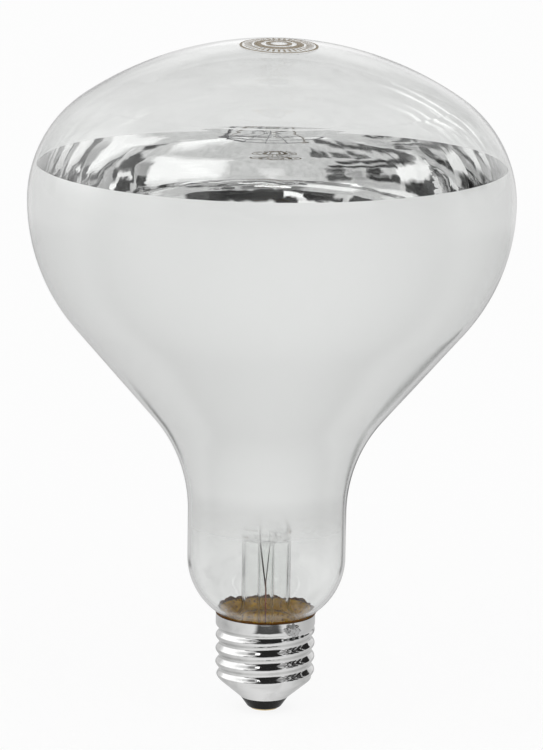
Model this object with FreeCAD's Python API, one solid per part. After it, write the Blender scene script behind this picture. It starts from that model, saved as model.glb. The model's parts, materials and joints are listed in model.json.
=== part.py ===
import FreeCAD, Part
import math
import os

# Infrared heat lamp: a blown reflector bulb, silvered inside, on an E27 screw cap.
# Lengths are in millimetres and angles in degrees. The lamp's axis is Z, cap down.
# The origin is the middle of the centre contact's outer face.

Vector = FreeCAD.Vector
AXIS = Vector(0, 0, 1)
ORIGIN = Vector(0, 0, 0)

# Screw shell
cap_height = 25.8
skirt_height = 2.7
thread_pitch = 3.629
thread_crest_radius = 13.05
thread_root_radius = 12.1
thread_runout = 1.6
thread_phase_height = 12.4
thread_lower_end = 8.2
shell_wall = 0.3
shell_mouth_radius = 6.4
shell_mouth_height = 3.3
shell_cone_slope = 1.18
shell_cone_blend = 1.4

# Insulator and contact at the cap's end
insulator_top_height = 6.2
insulator_gap = 0.05
insulator_nose_radius = 4.8
insulator_nose_round = 1.1
contact_radius = 3.6
contact_thickness = 0.3
contact_collar_radius = 1.6
contact_collar_height = 2.0
contact_bore_radius = 1.15
tip_solder_depth = 1.2

# Bulb
bulb_radius = 63.0
glass_wall = 0.9
face_radius = 87.1
shoulder_radius = 31.7
belly_radius = 50.0
cone_angle = 40.6
neck_fillet = 39.0
neck_radius = 20.7
neck_straight = 12.2
heel_radius = 17.6
heel_angle = 49.4
heel_rim_gap = 0.3
throat_fillet = 2.0
throat_straight = 0.5
mirror_film = 0.1
mirror_gap = 0.05
mirror_above_widest = 9.7
mirror_above_heel = 0.5
neck_split_rise = 12.8

# Cement between the glass and the shell
cement_thickness = 1.25
cement_below_seal = 4.7
cement_gap = 0.05
cement_overhang = 0.2

# Stem inside the neck
stem_radius = 6.4
stem_wall = 0.9
flare_radius = 5.0
stem_tube_length = 18.0
press_height = 8.5
press_thickness = 5.2
press_slope_height = 4.0
press_edge_round = 1.6
press_angle = 67.5
exhaust_radius = 2.2
exhaust_wall = 0.65
exhaust_below_seal = 7.0
exhaust_port_radius = 1.1
exhaust_port_rise = 2.4
arbor_radius = 1.75
arbor_length = 32.0
button_radius = 3.2

# Wires and filament
seal_wire_radius = 0.2
seal_wire_exposed = 0.3
outer_lead_radius = 0.2
inner_lead_radius = 0.45
outer_lead_drift = 22.5
outer_lead_drop = 13.0
outer_lead_bend = 1.2
outer_lead_straight = 1.5
inner_lead_rise = 12.0
inner_lead_drop = 7.0
inner_lead_bend = 4.0
shell_lead_below_cement = 2.2
contact_lead_run = 5.0
filament_radius = 0.6
filament_ring_radius = 15.5
filament_rise = 9.0
filament_gap_angle = 100.0
filament_bend = 2.5
crimp_wall = 0.35
crimp_length = 3.0
support_count = 6
support_radius = 0.22
support_embed = 1.4
hook_clearance = 0.05
hook_wrap = 255.0

# Solder that joins the lead to the shell
side_solder_azimuth = 303.0
side_solder_below_rim = 1.9
side_solder_hole_radius = 0.7
side_solder_radius = 1.75
side_solder_proud = 0.55
solder_gap = 0.01

# Columns in a turn and rows in a pitch of the thread's control net
thread_columns = 32
thread_rows_per_pitch = 10


def at(radius, height):
    """A point of the half section, in the plane through the axis."""
    return Vector(radius, 0, height)


def around(radius, azimuth, height):
    """A point at a distance from the axis, an angle around it and a height."""
    turn = math.radians(azimuth)
    return Vector(radius * math.cos(turn), radius * math.sin(turn), height)


def on_circle(centre, radius, angle):
    """The point of a circle in the half section at an angle from straight out."""
    turn = math.radians(angle)
    return centre + Vector(radius * math.cos(turn), 0, radius * math.sin(turn))


def line(start, end):
    return Part.LineSegment(start, end).toShape()


def arc(centre, radius, start, end):
    """An arc in the half section between two angles."""
    points = [on_circle(centre, radius, angle) for angle in (start, (start + end) / 2, end)]
    return Part.Arc(*points).toShape()


def joined_arcs(arcs):
    """Arcs in order, with a straight line wherever two of them do not meet."""
    edges = []
    last = None
    for centre, radius, start, end in arcs:
        first = on_circle(centre, radius, start)
        if last is not None and not last.isEqual(first, 1e-7):
            edges.append(line(last, first))
        edges.append(arc(centre, radius, start, end))
        last = on_circle(centre, radius, end)
    return edges


def curve_end(arcs):
    """The last point of a run of arcs."""
    centre, radius, _, end = arcs[-1]
    return on_circle(centre, radius, end)


def curve_start(arcs):
    """The first point of a run of arcs."""
    centre, radius, start, _ = arcs[0]
    return on_circle(centre, radius, start)


def polyline(*points):
    return [line(start, end) for start, end in zip(points, points[1:])]


def revolved(edges):
    """The solid of a closed half section turned once around the axis."""
    wire = Part.Wire(Part.__sortEdges__(edges))
    return Part.Face(wire).revolve(ORIGIN, AXIS, 360)


def cylinder(radius, height, base, direction=AXIS):
    return Part.makeCylinder(radius, height, base, direction)


def rounded_path(points, bend):
    """Straight runs through the points, with a tangent arc at each corner."""
    edges = []
    last = points[0]
    for before, corner, after in zip(points, points[1:], points[2:]):
        back = (before - corner).normalize()
        onward = (after - corner).normalize()
        half_turn = (math.pi - back.getAngle(onward)) / 2
        setback = bend * math.tan(half_turn)
        inset = bend * (1 / math.cos(half_turn) - 1)
        arc_start = corner + back * setback
        arc_middle = corner + (back + onward).normalize() * inset
        arc_end = corner + onward * setback
        edges.append(line(last, arc_start))
        edges.append(Part.Arc(arc_start, arc_middle, arc_end).toShape())
        last = arc_end
    edges.append(line(last, points[-1]))
    return Part.Wire(edges)


def round_bar(path, radius):
    """A round wire swept along a path of straight runs and arcs."""
    first = path.Edges[0]
    start = first.valueAt(first.FirstParameter)
    heading = first.tangentAt(first.FirstParameter)
    section = Part.Wire(Part.makeCircle(radius, start, heading))
    return path.makePipeShell([section], True, False)


# Heights and radii that follow from the sizes above

shell_inner_radius = thread_crest_radius - shell_wall
root_inner_radius = thread_root_radius - shell_wall
thread_upper_end = cap_height - skirt_height

throat_radius = root_inner_radius - cement_thickness
throat_inner_radius = throat_radius - glass_wall

heel_sin = math.sin(math.radians(heel_angle))
heel_cos = math.cos(math.radians(heel_angle))
heel_end_radius = neck_radius - heel_radius * (1 - heel_cos)
heel_rim_height = cap_height + heel_rim_gap
heel_end_height = heel_rim_height + (heel_end_radius - shell_inner_radius) * heel_cos / heel_sin
heel_height = heel_end_height + heel_radius * heel_sin

throat_start_radius = throat_radius + throat_fillet * (1 - heel_cos)
throat_start_height = heel_end_height - (heel_end_radius - throat_start_radius) * heel_cos / heel_sin
throat_height = throat_start_height - throat_fillet * heel_sin
seal_height = throat_height - throat_straight

cone_sin = math.sin(math.radians(cone_angle))
cone_cos = math.cos(math.radians(cone_angle))
neck_height = heel_height + neck_straight
cone_low_radius = neck_radius + neck_fillet * (1 - cone_cos)
cone_low_height = neck_height + neck_fillet * cone_sin
cone_high_radius = bulb_radius - belly_radius * (1 - cone_cos)
cone_high_height = cone_low_height + (cone_high_radius - cone_low_radius) * cone_cos / cone_sin
widest_height = cone_high_height + belly_radius * cone_sin

face_drop = math.sqrt((face_radius - shoulder_radius) ** 2 - (bulb_radius - shoulder_radius) ** 2)
face_end_angle = math.degrees(math.atan2(face_drop, bulb_radius - shoulder_radius))
face_height = widest_height - face_drop
apex_height = face_height + face_radius

mirror_edge_height = widest_height + mirror_above_widest
mirror_lower_height = heel_height + mirror_above_heel

stem_inner_radius = stem_radius - stem_wall
flare_centre_radius = stem_radius + flare_radius
flare_reach = flare_centre_radius - throat_inner_radius
flare_top_angle = math.degrees(math.acos(flare_reach / flare_radius))
flare_under_angle = math.degrees(math.acos(flare_reach / (flare_radius + stem_wall)))
flare_height = seal_height + (flare_radius + stem_wall) * math.sin(math.radians(flare_under_angle))
cavity_height = flare_height + stem_tube_length
press_top_height = cavity_height + press_height
cavity_round = (stem_inner_radius - exhaust_radius) / 2
cavity_spring_height = cavity_height - cavity_round

lead_circle_radius = (exhaust_radius + stem_inner_radius) / 2
lead_top_height = cavity_height - seal_wire_exposed
exhaust_tip_height = seal_height - exhaust_below_seal
cement_lower_height = seal_height - cement_below_seal
button_height = press_top_height + arbor_length
filament_height = button_height + filament_rise

side_solder_height = cap_height - side_solder_below_rim
side_solder_out = around(1, side_solder_azimuth, 0)


def bulb_arcs(inset):
    """The arcs of the bulb's section, apex to throat, set inwards from the outer face."""
    return [
        (at(0, face_height), face_radius - inset, 90, face_end_angle),
        (at(bulb_radius - shoulder_radius, widest_height), shoulder_radius - inset, face_end_angle, 0),
        (at(bulb_radius - belly_radius, widest_height), belly_radius - inset, 0, -cone_angle),
        (at(neck_radius + neck_fillet, neck_height), neck_fillet + inset, 180 - cone_angle, 180),
        (at(neck_radius - heel_radius, heel_height), heel_radius - inset, 0, -heel_angle),
        (at(throat_radius + throat_fillet, throat_height), throat_fillet + inset, 180 - heel_angle, 180),
    ]


def split_arcs(inset):
    """The arcs of the bulb above the split in its neck, and those below it."""
    face, shoulder, belly, neck, heel, throat = bulb_arcs(inset)
    centre, radius, cone_end, neck_end = neck
    split = 180 - math.degrees(math.asin(neck_split_rise / radius))
    upper = [face, shoulder, belly, (centre, radius, cone_end, split)]
    lower = [(centre, radius, split, neck_end), heel, throat]
    return upper, lower


def glass_bulb():
    """The blown envelope from the clear face down to the split in the neck's fillet."""
    outer, _ = split_arcs(0)
    inner, _ = split_arcs(glass_wall)
    split = [line(curve_end(outer), curve_end(inner))]
    crown = [line(curve_start(inner), curve_start(outer))]
    return revolved(joined_arcs(outer) + split + joined_arcs(inner) + crown)


def glass_neck():
    """The rest of the envelope, open at the throat where the stem is sealed in."""
    _, outer = split_arcs(0)
    _, inner = split_arcs(glass_wall)
    mouth = polyline(
        curve_end(outer),
        at(throat_radius, seal_height),
        at(throat_inner_radius, seal_height),
        curve_end(inner),
    )
    split = [line(curve_start(inner), curve_start(outer))]
    return revolved(joined_arcs(outer) + mouth + joined_arcs(inner) + split)


def mirror_arcs(inset):
    """The stretch of the bulb's section that carries the mirror film."""
    _, shoulder, belly, neck, _, _ = bulb_arcs(inset)
    centre, radius, _, _ = shoulder
    edge_angle = math.degrees(math.asin(mirror_above_widest / radius))
    return [(centre, radius, edge_angle, 0), belly, neck]


def mirror_coating():
    """The reflector: a film on the glass's inner face, from the shoulder down into the neck."""
    outer_inset = glass_wall + mirror_gap
    inner_inset = outer_inset + mirror_film
    outer = mirror_arcs(outer_inset)
    inner = mirror_arcs(inner_inset)
    lower = polyline(
        curve_end(outer),
        at(neck_radius - outer_inset, mirror_lower_height),
        at(neck_radius - inner_inset, mirror_lower_height),
        curve_end(inner),
    )
    upper = [line(curve_start(outer), curve_start(inner))]
    return revolved(joined_arcs(outer) + lower + joined_arcs(inner) + upper)


def thread_groove(azimuth, height):
    """How far the rolled groove sinks below the crest, fading out at both ends."""
    turns = (height - thread_phase_height) / thread_pitch - (azimuth - 180) / 360
    wave = (1 - math.cos(2 * math.pi * turns)) / 2
    from_top = (thread_upper_end - height) / thread_runout
    from_bottom = (height - thread_lower_end) / thread_runout
    share = max(0.0, min(1.0, from_top, from_bottom))
    return (thread_crest_radius - thread_root_radius) * wave * share * share * (3 - 2 * share)


def shell_cone_radius(height):
    """The straight cone at the shell's lower end."""
    return shell_mouth_radius + (height - shell_mouth_height) * shell_cone_slope


def shell_base_radius(height):
    """The shell's outside without its thread: a cone that blends into a cylinder."""
    cone = shell_cone_radius(height)
    share = 0.5 + 0.5 * (thread_crest_radius - cone) / shell_cone_blend
    share = max(0.0, min(1.0, share))
    blend = shell_cone_blend * share * (1 - share)
    return cone * share + thread_crest_radius * (1 - share) - blend


def threaded_plug(inset, lower, upper):
    """A solid plug whose side follows the rolled thread, set inwards from the shell's outside."""
    step = thread_pitch / thread_rows_per_pitch
    rows = math.ceil((upper - lower) / step) + 1
    column_lift = 3 / (2 + math.cos(2 * math.pi / thread_columns))
    groove_lift = 3 / (2 + math.cos(2 * math.pi / thread_rows_per_pitch))
    poles = []
    for column in range(thread_columns):
        azimuth = 360 * column / thread_columns
        strip = []
        for row in range(rows):
            height = lower + (upper - lower) * row / (rows - 1)
            radius = shell_base_radius(height) - groove_lift * thread_groove(azimuth, height) - inset
            strip.append(around(radius * column_lift, azimuth, height))
        poles.append(strip)
    spans = rows - 3
    side = Part.BSplineSurface()
    side.buildFromPolesMultsKnots(
        poles,
        [1] * (thread_columns + 1),
        [4] + [1] * (spans - 1) + [4],
        list(range(thread_columns + 1)),
        list(range(spans + 1)),
        True,
        False,
        3,
        3,
    )
    side = side.toShape()
    ends = [Part.Face(Part.Wire(edge)) for edge in side.Edges if edge.isClosed()]
    skin = Part.Shell([side] + ends)
    skin.sewShape()
    plug = Part.Solid(skin)
    if plug.Volume < 0:
        plug.reverse()
    return plug


def screw_shell():
    """The rolled sheet shell, with the hole where the lead is soldered."""
    outside = threaded_plug(0, shell_mouth_height, cap_height)
    inside = threaded_plug(shell_wall, shell_mouth_height - shell_wall, cap_height + shell_wall)
    start = AXIS * side_solder_height + side_solder_out * throat_radius
    hole = cylinder(side_solder_hole_radius, thread_crest_radius, start, side_solder_out)
    return outside.cut(inside).cut(hole)


def base_insulator():
    """The dark glass plug that carries the contact, cast into the shell's mouth."""
    nose_centre = at(insulator_nose_radius - insulator_nose_round, contact_thickness + insulator_nose_round)
    lip = at(shell_mouth_radius, shell_mouth_height)
    reach = lip - nose_centre
    heading = math.degrees(math.atan2(reach.z, reach.x))
    tangent = heading - math.degrees(math.acos(insulator_nose_round / reach.Length))
    nose = arc(nose_centre, insulator_nose_round, -90, tangent)
    inner_lip_radius = shell_mouth_radius - shell_wall - insulator_gap
    top_radius = shell_cone_radius(insulator_top_height) - shell_wall - insulator_gap
    collar_top = contact_thickness + contact_collar_height
    outside = polyline(
        on_circle(nose_centre, insulator_nose_round, tangent),
        lip,
        at(inner_lip_radius, shell_mouth_height),
        at(top_radius, insulator_top_height),
        at(contact_bore_radius, insulator_top_height),
        at(contact_bore_radius, collar_top),
        at(contact_collar_radius, collar_top),
        at(contact_collar_radius, contact_thickness),
        on_circle(nose_centre, insulator_nose_round, -90),
    )
    return revolved([nose] + outside)


def centre_contact():
    """The brass eyelet at the cap's end: a plate with a collar up into the insulator."""
    return revolved(polyline(
        at(contact_bore_radius, 0),
        at(contact_radius, 0),
        at(contact_radius, contact_thickness),
        at(contact_collar_radius, contact_thickness),
        at(contact_collar_radius, contact_thickness + contact_collar_height),
        at(contact_bore_radius, contact_thickness + contact_collar_height),
        at(contact_bore_radius, 0),
    ))


def tip_solder():
    """The solder that fills the eyelet, flush with the contact's face."""
    return cylinder(contact_bore_radius, tip_solder_depth, ORIGIN)


def basing_cement(shell_lead_wire):
    """The baked cement ring, cast around the glass and around the lead that rises in it."""
    heel_out = Vector(heel_sin, 0, heel_cos)
    rim_on_glass = at(shell_inner_radius, heel_rim_height)
    outer_radius = shell_inner_radius - cement_gap
    groove_radius = root_inner_radius - cement_gap
    step_height = (cap_height + thread_upper_end) / 2
    step_foot_height = step_height - (outer_radius - groove_radius) * heel_cos / heel_sin
    throat = bulb_arcs(0)[-1]
    edges = polyline(
        rim_on_glass + heel_out * cement_overhang,
        at(outer_radius, cap_height),
        at(outer_radius, step_height),
        at(groove_radius, step_foot_height),
        at(groove_radius, cement_lower_height),
        at(throat_inner_radius, cement_lower_height),
        at(throat_inner_radius, seal_height),
        at(throat_radius, seal_height),
        curve_end([throat]),
    )
    edges += joined_arcs([throat])
    edges.append(line(curve_start([throat]), rim_on_glass + heel_out * cement_overhang))
    return revolved(edges).cut(shell_lead_wire)


def side_solder():
    """The solder lump on the skirt, with its plug through the hole in the shell."""
    centre = AXIS * side_solder_height + side_solder_out * thread_crest_radius
    lump = Part.makeSphere(1)
    squash = FreeCAD.Matrix()
    squash.scale(side_solder_proud, side_solder_radius, side_solder_radius)
    lump = lump.transformGeometry(squash)
    lump.rotate(ORIGIN, AXIS, side_solder_azimuth)
    lump.translate(centre)
    skirt = cylinder(thread_crest_radius + solder_gap, cap_height, ORIGIN)
    lump = lump.cut(skirt)
    plug_start = centre - side_solder_out * shell_wall
    plug_radius = side_solder_hole_radius - solder_gap
    plug = cylinder(plug_radius, shell_wall + side_solder_proud / 2, plug_start, side_solder_out)
    return lump.fuse(plug)


def press_normal():
    """The way that the press's flat sides face."""
    return around(1, press_angle + 90, 0)


def press_side_block():
    """What the pinching jaws take off one side of the stem's top, before it is turned into place."""
    near = press_thickness / 2
    far = 2 * stem_radius
    low = cavity_height + stem_wall
    outline = Part.makePolygon([
        Vector(-far, near, low + press_slope_height),
        Vector(-far, near, 2 * press_top_height),
        Vector(-far, far, 2 * press_top_height),
        Vector(-far, far, low),
        Vector(-far, stem_radius, low),
        Vector(-far, near, low + press_slope_height),
    ])
    return Part.Face(outline).extrude(Vector(2 * far, 0, 0))


def seal_wire_places():
    """The two places on the press, across the stem, where the current goes through."""
    return [press_angle, press_angle + 180]


def stem_press():
    """The glass stem: a flared foot, a tube, and the pinched top that seals the wires in."""
    flare_centre = at(flare_centre_radius, flare_height)
    rim_top = on_circle(flare_centre, flare_radius, 180 + flare_top_angle)
    rim_under = on_circle(flare_centre, flare_radius + stem_wall, 180 + flare_under_angle)
    round_centre = at(stem_radius - press_edge_round, press_top_height - press_edge_round)
    edges = [
        arc(flare_centre, flare_radius, 180, 180 + flare_top_angle),
        line(rim_top, rim_under),
        arc(flare_centre, flare_radius + stem_wall, 180 + flare_under_angle, 180),
        arc(round_centre, press_edge_round, 0, 90),
        line(at(stem_radius, flare_height), on_circle(round_centre, press_edge_round, 0)),
        line(at(stem_inner_radius, flare_height), at(stem_inner_radius, cavity_spring_height)),
        arc(at(lead_circle_radius, cavity_spring_height), cavity_round, 0, 180),
    ]
    edges += polyline(
        at(exhaust_radius, cavity_spring_height),
        at(0, cavity_spring_height),
        at(0, press_top_height),
        on_circle(round_centre, press_edge_round, 90),
    )
    stem = revolved(edges)
    for half_turn in (0, 180):
        block = press_side_block()
        block.rotate(ORIGIN, AXIS, press_angle + half_turn)
        stem = stem.cut(block)
    for azimuth in seal_wire_places():
        stem = stem.cut(seal_wire(azimuth))
    bore_radius = exhaust_radius - exhaust_wall
    bore = cylinder(bore_radius, cavity_round + exhaust_port_rise, at(0, cavity_spring_height))
    port_start = AXIS * (cavity_height + exhaust_port_rise) - press_normal() * stem_radius
    port = cylinder(exhaust_port_radius, 2 * stem_radius, port_start, press_normal())
    return stem.cut(bore).cut(port)


def seal_wire(azimuth):
    """A wire sealed in the press, joining an outer lead to an inner one."""
    start = around(lead_circle_radius, azimuth, lead_top_height)
    return cylinder(seal_wire_radius, press_height + seal_wire_exposed, start)


def exhaust_tube():
    """The tube that the air was drawn through, melted shut at its lower end."""
    inner_radius = exhaust_radius - exhaust_wall
    tip_centre = at(0, exhaust_tip_height + exhaust_radius)
    edges = [
        arc(tip_centre, exhaust_radius, -90, 0),
        arc(tip_centre, inner_radius, 0, -90),
        line(at(0, exhaust_tip_height), at(0, exhaust_tip_height + exhaust_wall)),
    ]
    edges += polyline(
        at(exhaust_radius, tip_centre.z),
        at(exhaust_radius, cavity_spring_height),
        at(inner_radius, cavity_spring_height),
        at(inner_radius, tip_centre.z),
    )
    return revolved(edges)


def arbor_rod(supports):
    """The glass rod on the press, with the button that the support wires are melted into."""
    button_centre = at(0, button_height)
    joint_angle = -math.degrees(math.acos(arbor_radius / button_radius))
    edges = polyline(
        at(0, button_height + button_radius),
        at(0, press_top_height),
        at(arbor_radius, press_top_height),
        on_circle(button_centre, button_radius, joint_angle),
    )
    edges.append(arc(button_centre, button_radius, joint_angle, 90))
    rod = revolved(edges)
    for support in supports:
        rod = rod.cut(support)
    return rod


def filament_angles():
    """Where the filament's ends and supports stand around the axis."""
    first = press_angle + 90 + filament_gap_angle / 2
    step = (360 - filament_gap_angle) / (support_count + 1)
    return [first + step * index for index in range(support_count + 2)]


def filament_corners():
    """The points of the filament's ring, set out so that its bends pass at the ring's radius."""
    half_turn = math.radians((360 - filament_gap_angle) / (support_count + 1) / 2)
    corner_radius = filament_ring_radius + filament_bend * (1 / math.cos(half_turn) - 1)
    return [around(corner_radius, angle, filament_height) for angle in filament_angles()]


def filament():
    """The tungsten coil's outer form, held in a broken ring."""
    return round_bar(rounded_path(filament_corners(), filament_bend), filament_radius)


def support_wire(azimuth):
    """A wire from the glass button to a hook around the filament."""
    start = at(button_radius - support_embed, button_height)
    hook_centre = at(filament_ring_radius, filament_height)
    hook_radius = filament_radius + hook_clearance + support_radius
    reach = hook_centre - start
    run = math.sqrt(reach.Length ** 2 - hook_radius ** 2)
    heading = math.atan2(reach.z, reach.x) - math.asin(hook_radius / reach.Length)
    tangent = start + Vector(math.cos(heading), 0, math.sin(heading)) * run
    hook_start = math.degrees(heading) - 90
    hook = arc(hook_centre, hook_radius, hook_start, hook_start + hook_wrap)
    bar = round_bar(Part.Wire([line(start, tangent), hook]), support_radius)
    bar.rotate(ORIGIN, AXIS, azimuth)
    return bar


def inner_lead(azimuth, ring_end, ring_next):
    """A stiff lead from the press to the crimp on one end of the filament."""
    along = (ring_next - ring_end).normalize()
    crimp_middle = ring_end + along * (crimp_length / 2)
    foot = around(lead_circle_radius, azimuth, press_top_height)
    path = rounded_path([
        foot,
        foot + AXIS * inner_lead_rise,
        crimp_middle - AXIS * inner_lead_drop,
        crimp_middle,
    ], inner_lead_bend)
    sleeve = cylinder(filament_radius + crimp_wall, crimp_length, ring_end, along)
    bore = cylinder(filament_radius, crimp_length, ring_end, along)
    return round_bar(path, inner_lead_radius).fuse(sleeve).cut(bore)


def outer_lead_start(azimuth):
    """The top of an outer lead: straight out of the press, then down the stem, drifting round."""
    return [
        around(lead_circle_radius, azimuth, lead_top_height),
        around(lead_circle_radius, azimuth, lead_top_height - outer_lead_straight),
        around(lead_circle_radius, azimuth + outer_lead_drift, lead_top_height - outer_lead_drop),
    ]


def shell_lead():
    """The lead that goes under the cement, up inside it and out along the heel to the solder."""
    rise_radius = (throat_radius + root_inner_radius) / 2
    slant_end_radius = (rise_radius + shell_inner_radius) / 2
    slant_height = side_solder_height - (slant_end_radius - rise_radius) * heel_cos / heel_sin
    run_height = cement_lower_height - shell_lead_below_cement
    points = outer_lead_start(press_angle + 180)
    points += [
        around(lead_circle_radius, press_angle + 180 + outer_lead_drift, run_height),
        around(rise_radius, side_solder_azimuth, run_height),
        around(rise_radius, side_solder_azimuth, slant_height),
        around(slant_end_radius, side_solder_azimuth, side_solder_height),
        around(shell_inner_radius, side_solder_azimuth, side_solder_height),
    ]
    bend = min(outer_lead_bend, (slant_end_radius - rise_radius) * 0.8)
    return round_bar(rounded_path(points, bend), outer_lead_radius)


def contact_lead():
    """The lead that passes the exhaust tip and goes down the axis to the centre contact."""
    beside_tip = exhaust_tip_height - outer_lead_bend
    points = outer_lead_start(press_angle)
    points += [
        around(lead_circle_radius, press_angle + outer_lead_drift, beside_tip),
        at(0, beside_tip - contact_lead_run),
        at(0, tip_solder_depth),
    ]
    return round_bar(rounded_path(points, outer_lead_bend), outer_lead_radius)


def lamp_pieces():
    """Every piece of the lamp by name."""
    corners = filament_corners()
    supports = [support_wire(angle) for angle in filament_angles()[1:-1]]
    side_lead = shell_lead()
    pieces = {
        "glass_bulb": glass_bulb(),
        "glass_neck": glass_neck(),
        "mirror_coating": mirror_coating(),
        "stem_press": stem_press(),
        "exhaust_tube": exhaust_tube(),
        "arbor_rod": arbor_rod(supports),
        "filament": filament(),
        "inner_lead_a": inner_lead(press_angle, corners[-1], corners[-2]),
        "inner_lead_b": inner_lead(press_angle + 180, corners[0], corners[1]),
        "shell_lead": side_lead,
        "contact_lead": contact_lead(),
        "screw_shell": screw_shell(),
        "base_insulator": base_insulator(),
        "centre_contact": centre_contact(),
        "tip_solder": tip_solder(),
        "side_solder": side_solder(),
        "basing_cement": basing_cement(side_lead),
    }
    for name, azimuth in zip(("seal_wire_a", "seal_wire_b"), seal_wire_places()):
        pieces[name] = seal_wire(azimuth)
    for number, support in enumerate(supports, start=1):
        pieces["support_wire_" + str(number)] = support
    return pieces


os.makedirs("parts", exist_ok=True)
for name, piece in lamp_pieces().items():
    piece.exportStep("parts/" + name + ".step")
    print(name, piece.ShapeType, piece.isValid(), len(piece.Solids), round(piece.Volume, 2))
print("overall length", round(apex_height, 2), "greatest diameter", 2 * bulb_radius)
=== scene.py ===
"""Infrared heat lamp in a plain studio: a clear-faced reflector bulb, silvered inside, on a screw cap.

Lengths are in metres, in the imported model's frame: the lamp's axis is Z, cap down, and the origin is the
middle of the centre contact's face.
"""
from __future__ import annotations

import json
import logging
import math
from dataclasses import dataclass, field
from enum import Enum
from typing import Any, Iterable, Sequence

import bmesh
import bpy
from mathutils import Matrix, Quaternion, Vector, noise

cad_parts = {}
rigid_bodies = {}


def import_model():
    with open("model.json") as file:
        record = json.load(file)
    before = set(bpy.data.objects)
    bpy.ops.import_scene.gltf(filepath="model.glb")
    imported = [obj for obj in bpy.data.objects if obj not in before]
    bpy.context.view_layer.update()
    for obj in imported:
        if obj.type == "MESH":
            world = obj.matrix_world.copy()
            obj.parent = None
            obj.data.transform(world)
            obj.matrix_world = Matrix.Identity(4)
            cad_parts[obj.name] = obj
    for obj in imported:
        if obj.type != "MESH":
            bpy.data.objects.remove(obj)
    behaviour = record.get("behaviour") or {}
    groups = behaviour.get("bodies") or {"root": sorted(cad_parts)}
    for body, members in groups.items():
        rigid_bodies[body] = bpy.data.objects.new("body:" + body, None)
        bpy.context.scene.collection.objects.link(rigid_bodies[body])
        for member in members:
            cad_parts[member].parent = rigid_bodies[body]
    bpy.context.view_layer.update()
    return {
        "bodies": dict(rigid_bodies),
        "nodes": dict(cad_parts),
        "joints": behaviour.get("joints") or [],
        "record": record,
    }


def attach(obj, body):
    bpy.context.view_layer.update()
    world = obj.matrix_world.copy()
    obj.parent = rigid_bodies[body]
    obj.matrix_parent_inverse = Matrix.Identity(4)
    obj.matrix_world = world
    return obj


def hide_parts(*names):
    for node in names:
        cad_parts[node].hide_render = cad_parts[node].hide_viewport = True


LOG = logging.getLogger("heat_lamp")
BODY = "root"
MM = 0.001
ORIGIN = (0.0, 0.0, 0.0)
FRONT = (0.0, -1.0, 0.0)
Colour = tuple[float, float, float, float]
Place = tuple[float, float, float]
Point = tuple[float, float]
Span = tuple[float, float]
Section = list[Point]
Paint = dict[str, Any]
Socket = bpy.types.NodeSocket


def grey(level: float) -> Colour:
    """A neutral colour of one level."""
    return (level, level, level, 1.0)


@dataclass(frozen=True)
class Clouds:
    """A cloudy pattern: clouds in a metre, finer layers, how far they are stirred, and their stretch."""

    scale: float
    layers: float = 3.0
    stir: float = 0.0
    stretch: Place = (1.0, 1.0, 1.0)


@dataclass(frozen=True)
class Relief:
    """How a pattern stands out: the share of the effect, and the height that its 0 to 1 stands for."""

    strength: float
    depth: float


class Mix(Enum):
    """What a Mix node blends, with the numbers of its first such input and of its output."""

    NUMBER = ("FLOAT", 2, 0)
    COLOUR = ("RGBA", 6, 2)


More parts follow.
